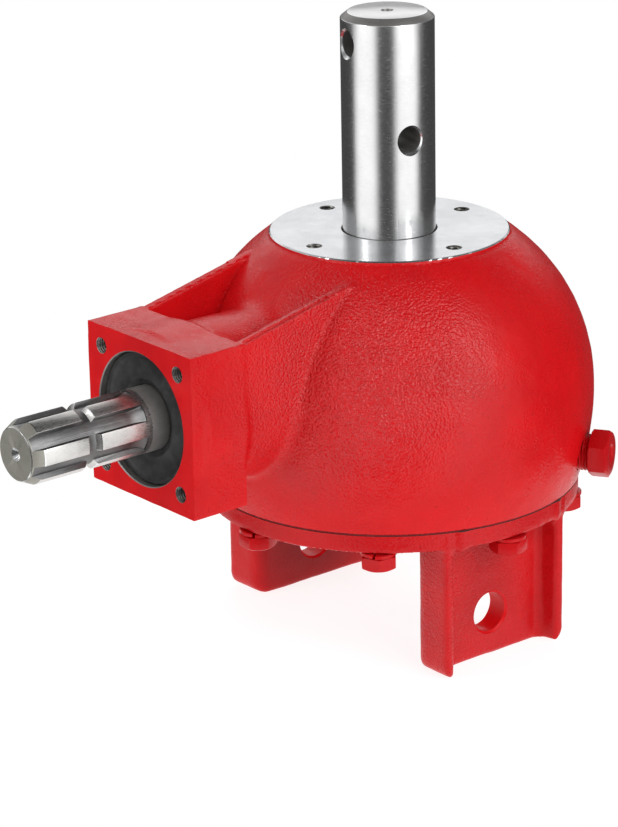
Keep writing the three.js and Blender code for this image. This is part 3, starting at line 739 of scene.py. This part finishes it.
def make_cover():
    low = np.array([-COVER_R, -COVER_R, LUG_BOTTOM])
    high = np.array([COVER_R, COVER_R, COVER_T + 2])
    piece = make_object("base_cover_casting", skin(cover_field, low, high, 1.55), [COVER, PAINTED, BORED])
    beyond = COVER_R + 9
    above_top = lathe([(0, COVER_T), (beyond, COVER_T), (beyond, COVER_T + 9), (0, COVER_T + 9)], 96, [2] * 3)
    combine(piece, [above_top])
    low, high = COVER_T - 2, COVER_T + 6
    seat = lathe([(0, low), (SEAT_R, low), (SEAT_R, SEAT_TOP), (0, SEAT_TOP)], 96, [2] * 3)
    spigot = lathe([(SPIGOT_IN, low), (SPIGOT_OUT, low), (SPIGOT_OUT, high - 1), (SPIGOT_OUT - 1, high),
                    (SPIGOT_IN, high), (SPIGOT_IN, low)], 96, [2] * 5)
    combine(piece, [several([seat, spigot])], "UNION")
    pocket = lathe([(0, 11), (37, 11), (37, 40), (0, 40)], 96, [2] * 3)
    bolt_hole = lathe([(0, -3), (BOLT_BORE, -3), (BOLT_BORE, 14), (0, 14)], 24, [2] * 3)
    spotface = lathe([(0, -24), (10, -24), (12.2, -21.5), (12.2, 0.02), (0, 0.02)], 48, [1] * 4)
    mouth = PIN_HOLE + 1.1
    pin_hole = lathe([(0, 60), (mouth, 60), (mouth, LUG_INNER + 0.2), (PIN_HOLE, LUG_INNER + 1.2),
                      (PIN_HOLE, LUG_WEB - 1.2), (mouth, LUG_WEB - 0.1), (mouth, 100), (0, 100)], 64, [1] * 7)
    start, end, depth = RELIEF_R, RELIEF_R + 2, 0.8
    relief = lathe([(start, -1), (end, -1), (end, depth - 0.2), (end - 0.2, depth), (start + 0.2, depth),
                    (start, depth - 0.2), (start, -1)], 192)
    combine(piece, [several([relief] + [along_radius(pin_hole, turn, PIN_Z) for turn in (0, 180)]),
                    several([shifted(spotface, x=side * BOLT_RING) for side in (-1, 1)]),
                    several([pocket] + around(bolt_hole, BOLT_COUNT, BOLT_RING))])
    return finished(piece, "casing", "cover_paint", "base_cover", sharp=38)


make_cover()


def make_gasket():
    low, high = COVER_T + GAP, COVER_T + GAP + 0.6
    inner, outer = 84, COVER_R - 0.1
    sheet = lathe([(inner, low), (outer, low), (outer, high), (inner, high), (inner, low)], 192)
    piece = make_object("cover_gasket_sheet", sheet, [PAPER])
    bolt_hole = lathe([(0, 5), (BOLT_BORE, 5), (BOLT_BORE, 20), (0, 20)], 24)
    combine(piece, [several(around(bolt_hole, BOLT_COUNT, BOLT_RING))])
    return finished(piece, "casing", "gasket", "cover_gasket")


make_gasket()

# ---- bolts, lock washers and oil plugs ---------------------------------------------------------

HEX_TURN = np.random.default_rng(21).uniform(0, 60, BOLT_COUNT)


def hexagon(across_flats, turn=0.0):
    corner = across_flats / math.sqrt(3)
    return [(corner * math.cos(math.radians(60 * k + turn)), corner * math.sin(math.radians(60 * k + turn)))
            for k in range(6)]


def cover_bolt(number):
    seat = washer_low[2] - GAP
    end = bolt_low[2]
    piece = make_object(f"painted_bolt_{number + 1}", prism(hexagon(18, HEX_TURN[number]), end, seat),
                        [FASTENER])
    cone = lathe([(0, end), (8.1, end), (11.4, end + 1.9), (11.4, seat - 1.0), (9.6, seat), (0, seat)], 48)
    combine(piece, [cone], "INTERSECT")
    shank = threaded(6.0, 5.2, 1.75, seat - 2, bolt_high[2] - 0.6, 1.5, segments=32)
    combine(piece, [shank], "UNION")
    bevel(piece, 0.45, 2, 28)
    piece.data.transform(Matrix.Rotation(math.radians(45 * number), 4, "Z")
                         @ Matrix.Translation((BOLT_RING * MM, 0, 0)))
    return finished(piece, "casing", "fastener_paint", f"cover_bolt_{number + 1}")


def spring_washer(number):
    """A split washer: one coil of square wire, slightly sprung open at the split."""
    low, high = washer_low[2], washer_high[2]
    sections = []
    for angle in np.linspace(5, 355, 49):
        rise = 0.35 * (angle / 360 - 0.5)
        c, s = math.cos(math.radians(angle)), math.sin(math.radians(angle))
        wire = [(6.4, low + 0.45), (6.7, low + 0.2), (9.6, low + 0.2), (9.9, low + 0.5), (9.9, high - 0.5),
                (9.6, high - 0.2), (6.7, high - 0.2), (6.4, high - 0.45)]
        sections.append([(r * c, r * s, z + rise) for r, z in wire])
    turn = 45 * number + HEX_TURN[number] * 5
    shape = turned(shifted(turned(loft(sections), turn), x=BOLT_RING), 45 * number)
    piece = make_object(f"spring_washer_{number + 1}", shape, [FASTENER])
    return finished(piece, "casing", "fastener_paint", f"lock_washer_{number + 1}")


for bolt_number in range(BOLT_COUNT):
    cover_bolt(bolt_number)
    spring_washer(bolt_number)


def oil_plug(name, node):
    """A hexagon-headed plug with its thread, pointing outwards from the ball."""
    start, end = 114.5, 125.0
    across_flats = 23.8
    piece = make_object(name, prism(hexagon(across_flats), start, end), [FASTENER])
    corner = across_flats / math.sqrt(3)
    cone = lathe([(0, start), (corner - 1.2, start), (corner, start + 0.8), (corner, end - 1.3), (11.2, end),
                  (5.6, end), (4.6, end - 0.9), (1.2, end - 1.5), (0, end - 1.6)], 64)
    combine(piece, [cone], "INTERSECT")
    bevel(piece, 0.4, 2, 28)
    combine(piece, [threaded(10.2, 9.2, 1.8, 95.5, start + 1, 1.4)], "UNION")
    turn = Matrix.Rotation(math.radians(PLUG_TURNS[node]), 4, "Z")
    lying = Matrix.Rotation(math.radians(90), 4, "Y")
    piece.data.transform(Matrix.Translation((0, 0, PLUG_Z * MM)) @ turn @ lying)
    return finished(piece, "casing", "fastener_paint", node, sharp=30)


oil_plug("painted_level_plug", "level_plug")
oil_plug("painted_filler_plug", "filler_plug")

# ---- output shaft ------------------------------------------------------------------------------

SHAFT_R = 25.4
SHAFT_TOP = shaft_high[2]
CROSS_HOLE_R = 7
CROSS_HOLES = ((204.7, -12.3), (255.5, -102.3))


def make_output_shaft():
    top = SHAFT_TOP
    profile = [(0, 12), (19.6, 12), (20.3, 12.8), (20.3, 33), (25, 33.5), (25, 57.3), (30.6, 57.3),
               (31, 57.8), (31, 64), (28.5, 66), (28.5, 111.7), (SHAFT_R, 111.7), (SHAFT_R, top - 3.6),
               (SHAFT_R - 0.3, top - 3.1), (SHAFT_R - 3.8, top - 0.3), (SHAFT_R - 4.3, top), (3.4, top),
               (1.2, top - 4), (1.2, top - 8), (0, top - 8)]
    looks = [0] * 12 + [1, 3, 1, 2, 3, 3, 3]
    piece = make_object("ground_output_shaft", lathe(profile, 160, looks), [GROUND, EDGE, SHAFT_END, BORED])
    hole = lathe([(0, -40), (CROSS_HOLE_R, -40), (CROSS_HOLE_R, 40), (0, 40)], 48, [3] * 3)
    rim = lathe([(0, SHAFT_R - 2.0), (CROSS_HOLE_R - 0.1, SHAFT_R - 2.0),
                 (CROSS_HOLE_R + 1.9, SHAFT_R + 0.6), (0, SHAFT_R + 0.6)], 48, [1] * 3)
    for height, turn in CROSS_HOLES:
        combine(piece, [along_radius(hole, turn, height), along_radius(rim, turn, height),
                        along_radius(rim, turn + 180, height)])
    key = prism([(19, -6), (32, -6), (32, 6), (19, 6)], 36.5, 56.5, 3)
    combine(piece, [shifted(key, x=1.5)])
    return finished(piece, "output_assembly", "shaft_steel", "output_shaft")


make_output_shaft()

# ---- input shaft with its pinion ---------------------------------------------------------------

MODULE = 4.75
PINION_TEETH, CROWN_TEETH = 11, 35
FACE_WIDTH = 26.0
PRESSURE = math.radians(20)
PINION_ANGLE = math.atan(PINION_TEETH / CROWN_TEETH)
CROWN_ANGLE = math.pi / 2 - PINION_ANGLE
CONE = MODULE * CROWN_TEETH / 2 / math.sin(CROWN_ANGLE)
INNER = (CONE - FACE_WIDTH) / CONE
ADDENDUM = {PINION_TEETH: 1.2 * MODULE, CROWN_TEETH: 0.65 * MODULE}
ROOT = {PINION_TEETH: 0.95 * MODULE, CROWN_TEETH: 1.5 * MODULE}
HALF_PITCH = math.pi * MODULE / 2
THICKNESS = {PINION_TEETH: HALF_PITCH + 0.2 * MODULE - 0.45, CROWN_TEETH: HALF_PITCH - 0.2 * MODULE - 0.45}


def gear_tooth(teeth, angle):
    """One involute bevel tooth centred on +X, shrinking towards the cone's tip at the origin."""
    pitch = MODULE * teeth / 2 / math.cos(angle)
    base = pitch * math.cos(PRESSURE)
    flank = []
    for step in range(7):
        height = -ROOT[teeth] + (ADDENDUM[teeth] + ROOT[teeth]) * step / 6
        radius = max(pitch + height, base)
        phi = math.acos(base / radius)
        half = radius * (THICKNESS[teeth] / 2 / pitch + math.tan(PRESSURE) - PRESSURE - math.tan(phi) + phi)
        flank.append((half, height - (1.5 if step == 0 else 0)))
    outline = flank + [(-a, b) for a, b in reversed(flank)]
    sections = []
    for scale in (1, INNER):
        sections.append([(scale * (CONE * math.sin(angle) + up * math.cos(angle)), scale * side,
                          scale * (CONE * math.cos(angle) - up * math.sin(angle))) for side, up in outline])
    return loft(sections)


def root_point(teeth, angle, scale):
    return (scale * (CONE * math.sin(angle) - ROOT[teeth] * math.cos(angle)),
            scale * (CONE * math.cos(angle) + ROOT[teeth] * math.sin(angle)))


SPLINE_TIP = -pinion_low[1]
SPLINE_R, SPLINE_ROOT = 17.46, 14.8
SPLINE_TURN = 33.0
SPLINE_COUNT, SPLINE_WIDTH, SPLINE_LENGTH = 6, 8.7, 62
DETENT_FROM_TIP = 38
JOURNAL_R = 17.5


def spline_valley():
    """Cutter for one valley, whose floor rises out to the crest where the cutter left the work."""
    start = SPLINE_TIP - SPLINE_LENGTH
    cutter_r = 26
    outside = 20.0
    floors = []
    for back in (9.5, 8, 6.5, 5, 3.5, 2, 1, 0):
        floors.append((start - back, SPLINE_ROOT + cutter_r - math.sqrt(cutter_r ** 2 - back ** 2)))
    floors.append((SPLINE_TIP + 1, SPLINE_ROOT))

    def arc(radius, z, direction):
        edge = direction * (math.pi / SPLINE_COUNT - math.asin(SPLINE_WIDTH / 2 / radius))
        return [(radius * math.cos(t), radius * math.sin(t), z) for t in np.linspace(-edge, edge, 9)]

    return loft([arc(floor, z, 1) + arc(outside, z, -1) for z, floor in floors], 1)


def make_pinion_shaft():
    out_r, out_a = root_point(PINION_TEETH, PINION_ANGLE, 1)
    in_r, in_a = root_point(PINION_TEETH, PINION_ANGLE, INNER)
    detent = SPLINE_TIP - DETENT_FROM_TIP
    seat = JOURNAL_R
    profile = [(0, in_a - 2), (in_r - 2, in_a - 2), (in_r, in_a), (out_r, out_a), (out_r, out_a + 4),
               (22, 92), (22, 98.3), (seat, 98.3), (seat, 158.7), (seat - 1, 158.7), (seat - 1, 161),
               (seat, 161), (seat, 175.6), (SPLINE_R, 177), (SPLINE_R, detent - 4.2),
               (SPLINE_R - 0.5, detent - 3.6), (SPLINE_ROOT, detent - 2), (SPLINE_ROOT, detent + 2),
               (SPLINE_R - 0.5, detent + 3.6), (SPLINE_R, detent + 4.2),
               (SPLINE_R, SPLINE_TIP - 6.7), (SPLINE_R - 0.2, SPLINE_TIP - 6.1), (14.4, SPLINE_TIP - 0.4),
               (14.0, SPLINE_TIP), (3.6, SPLINE_TIP), (1.3, SPLINE_TIP - 3.4), (0, SPLINE_TIP - 3.6)]
    looks = [4] * 6 + [6] * 7 + [0, 2, 0, 1, 0, 2, 0, 2, 3, 2, 3, 2, 5]
    piece = make_object("splined_pinion_shaft", lathe(profile, 144, looks),
                        [CREST, VALLEY, EDGE, TURNED, GEAR, BORED, JOURNAL])
    combine(piece, [several(around(spline_valley(), SPLINE_COUNT, 0, SPLINE_TURN))])
    for tooth in around(gear_tooth(PINION_TEETH, PINION_ANGLE), PINION_TEETH, 0, 90):
        vertices, faces, _ = tooth
        combine(piece, [(vertices, faces, [4] * len(faces))], "UNION")
    bevel(piece, 0.22, 2, 32)
    piece.data.transform(Matrix.Translation((0, 0, INPUT_Z * MM)) @ Matrix.Rotation(math.pi / 2, 4, "X"))
    return finished(piece, "input_assembly", "spline_steel", "pinion_shaft")


make_pinion_shaft()

# ---- shaft seals -------------------------------------------------------------------------------


def lip_seal(name, node, shaft_radius, low, high, place):
    """A rubber-covered seal: pressed rim, dished web, and a lip with a dust lip in front."""
    lip = shaft_radius + 0.4
    out = SEAL_R
    rim = [(out, low), (out, high - 0.5), (out - 0.5, high), (out - 2.4, high), (out - 3.0, high - 0.7)]
    web = [(out - 4.2, high - 1.3), (shaft_radius + 6.5, high - 1.6), (shaft_radius + 5.2, high - 1.0),
           (shaft_radius + 3.6, high - 0.9), (shaft_radius + 2.4, high - 1.6), (lip, high - 2.6)]
    back = [(lip + 0.5, high - 3.6), (lip + 0.3, low + 3.4), (lip, low + 3.0), (lip + 1.2, low + 1.6),
            (shaft_radius + 3.4, high - 4), (out - 3, high - 4), (out - 3, low)]
    profile = rim + web + back
    piece = make_object(name, place(lathe(profile + profile[:1], 128)), [RUBBER])
    return finished(piece, "casing", "seal_rubber", node)


lip_seal("input_lip_seal", "input_seal", JOURNAL_R, -input_seal_high[1], -input_seal_low[1], along_input)
lip_seal("output_lip_seal", "output_seal", SHAFT_R, output_seal_low[2], output_seal_high[2], shifted)

# ---- CAD nodes that keep their own shape -------------------------------------------------------

KEPT = {"gear": GEAR, "key": GEAR, "race": BEARING, "rollers": BEARING, "spacer": BEARING, "ring": BEARING}
for name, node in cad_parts.items():
    ending = name.rsplit("_", 1)[-1]
    if ending in KEPT and not node.hide_render:
        node.data.materials.clear()
        node.data.materials.append(KEPT[ending])

# ---- floor, light and camera -------------------------------------------------------------------

FLOOR_Z = cad_box[0][2]


def make_floor():
    """A pale round table top that fills the space under the gearbox."""
    table = [(0, -12), (258, -12), (260, -10), (260, -2), (258, 0), (0, 0)]
    look = Look("pale_floor", (0.3, 0.3, 0.3), 0.6, Specular_IOR_Level=0.1)
    look.color(look.mix(look.noise(120, 2), (0.29, 0.29, 0.29), (0.32, 0.32, 0.32)))
    look.set("Emission Color", (1, 1, 1, 1))
    look.set("Emission Strength", 0.86)
    floor = make_object("floor", shifted(lathe(table, 192), z=FLOOR_Z / MM), [look.material])


make_floor()


def softbox(name, place, aim, size, power):
    lamp = bpy.data.lights.new(name, "AREA")
    lamp.shape = "RECTANGLE"
    lamp.size, lamp.size_y = size
    lamp.energy = power
    holder = bpy.data.objects.new(name, lamp)
    holder.location = place
    direction = Vector(aim) - Vector(place)
    holder.rotation_euler = direction.to_track_quat("-Z", "Y").to_euler()
    bpy.context.scene.collection.objects.link(holder)


softbox("key", (-0.5, -1.7, 1.3), (0, 0, 0.08), (0.45, 0.45), 5)
softbox("fill", (1.9, 0.3, 0.9), (0, 0, 0.08), (0.4, 0.6), 3.5)


def make_studio():
    """A bright rear sky, two tall soft panels left and right, a soft hood high in front, and a dim
    room between them. The camera itself sees plain white."""
    world = bpy.data.worlds.new("studio")
    bpy.context.scene.world = world
    world.use_nodes = True
    tree = world.node_tree
    new, link = tree.nodes.new, tree.links.new
    split = new("ShaderNodeSeparateXYZ")
    link(new("ShaderNodeTexCoord").outputs["Generated"], split.inputs[0])

    def calculate(operation, a, b):
        made = new("ShaderNodeMath")
        made.operation = operation
        for socket, value in zip(made.inputs, (a, b)):
            if isinstance(value, bpy.types.NodeSocket):
                link(value, socket)
            else:
                socket.default_value = value
        return made.outputs[0]

    def ramp(value, low, high, start=0.0, end=1.0):
        made = new("ShaderNodeMapRange")
        made.interpolation_type = "SMOOTHSTEP"
        link(value, made.inputs["Value"])
        for key, number in zip(("From Min", "From Max", "To Min", "To Max"), (low, high, start, end)):
            made.inputs[key].default_value = number
        return made.outputs["Result"]

    heading = calculate("ARCTAN2", split.outputs["Y"], split.outputs["X"])
    heading = calculate("MULTIPLY", heading, 180 / math.pi)
    panels = []
    for rise, full, fade, end in ((-142, -112, -80, -57), (-33, -13, 23, 50)):
        panels.append(calculate("MULTIPLY", ramp(heading, rise, full), ramp(heading, fade, end, 1.0, 0.0)))
    panel = calculate("MULTIPLY", calculate("ADD", *panels), PANEL_LIGHT)
    height = split.outputs["Z"]
    band = calculate("MULTIPLY", ramp(height, 0.03, 0.3), ramp(height, 0.72, 0.92, 1.0, 0.0))
    rear = calculate("ADD", calculate("MULTIPLY", split.outputs["X"], -0.777),
                     calculate("MULTIPLY", split.outputs["Y"], 0.629))
    sky = calculate("MULTIPLY", band, ramp(rear, 0.5, 0.85, SKY_LIGHT, REAR_LIGHT))
    sky = calculate("MULTIPLY", sky, ramp(rear, -0.93, -0.7, 0.17, 1.0))
    side = calculate("MULTIPLY", ramp(heading, 44, 60), ramp(heading, 95, 115, 0.7, 0.0))
    sky = calculate("MULTIPLY", sky, calculate("SUBTRACT", 1.0, side))
    panel = calculate("MULTIPLY", panel, ramp(height, 0.45, 0.65, 1.0, 0.0))
    hood = calculate("MULTIPLY", ramp(heading, -30, -8), ramp(heading, 14, 34, 1.0, 0.0))
    hood = calculate("MULTIPLY", hood, ramp(height, 0.4, 0.52))
    hood = calculate("MULTIPLY", hood, ramp(height, 0.72, 0.84, HOOD_LIGHT, 0.0))
    light = calculate("MAXIMUM", calculate("MAXIMUM", panel, sky), calculate("MAXIMUM", hood, ROOM_LIGHT))
    room, backdrop = new("ShaderNodeBackground"), new("ShaderNodeBackground")
    link(light, room.inputs["Strength"])
    room.inputs["Color"].default_value = (1, 1, 1, 1)
    backdrop.inputs["Color"].default_value = (1, 1, 1, 1)
    seen, either = new("ShaderNodeLightPath"), new("ShaderNodeMixShader")
    link(seen.outputs["Is Camera Ray"], either.inputs[0])
    link(room.outputs[0], either.inputs[1])
    link(backdrop.outputs[0], either.inputs[2])
    link(either.outputs[0], tree.nodes["World Output"].inputs["Surface"])


# Brightness of each part of the studio, where 1 is the white behind the object.
ROOM_LIGHT = 0.07
SKY_LIGHT = 0.6
REAR_LIGHT = 1.4
PANEL_LIGHT = 1.5
HOOD_LIGHT = 4.2
make_studio()

lens = bpy.data.cameras.new("camera")
lens.sensor_fit = "VERTICAL"
lens.sensor_height = 36.0
lens.lens = 3413.91 / 827 * 36
lens.clip_end = 20.0
camera = bpy.data.objects.new("camera", lens)
view_right = Vector((0.63524859, 0.77211613, -0.01720205))
view_up = Vector((-0.24460419, 0.22227202, 0.94380291))
view_back = Vector((0.73254899, -0.59534178, 0.33006082))
camera.matrix_world = Matrix.Translation((1.360354, -1.164315, 0.669655)) @ Matrix(
    (view_right, view_up, view_back)).transposed().to_4x4()
bpy.context.scene.collection.objects.link(camera)
bpy.context.scene.camera = camera
bpy.context.scene.view_settings.view_transform = "Standard"
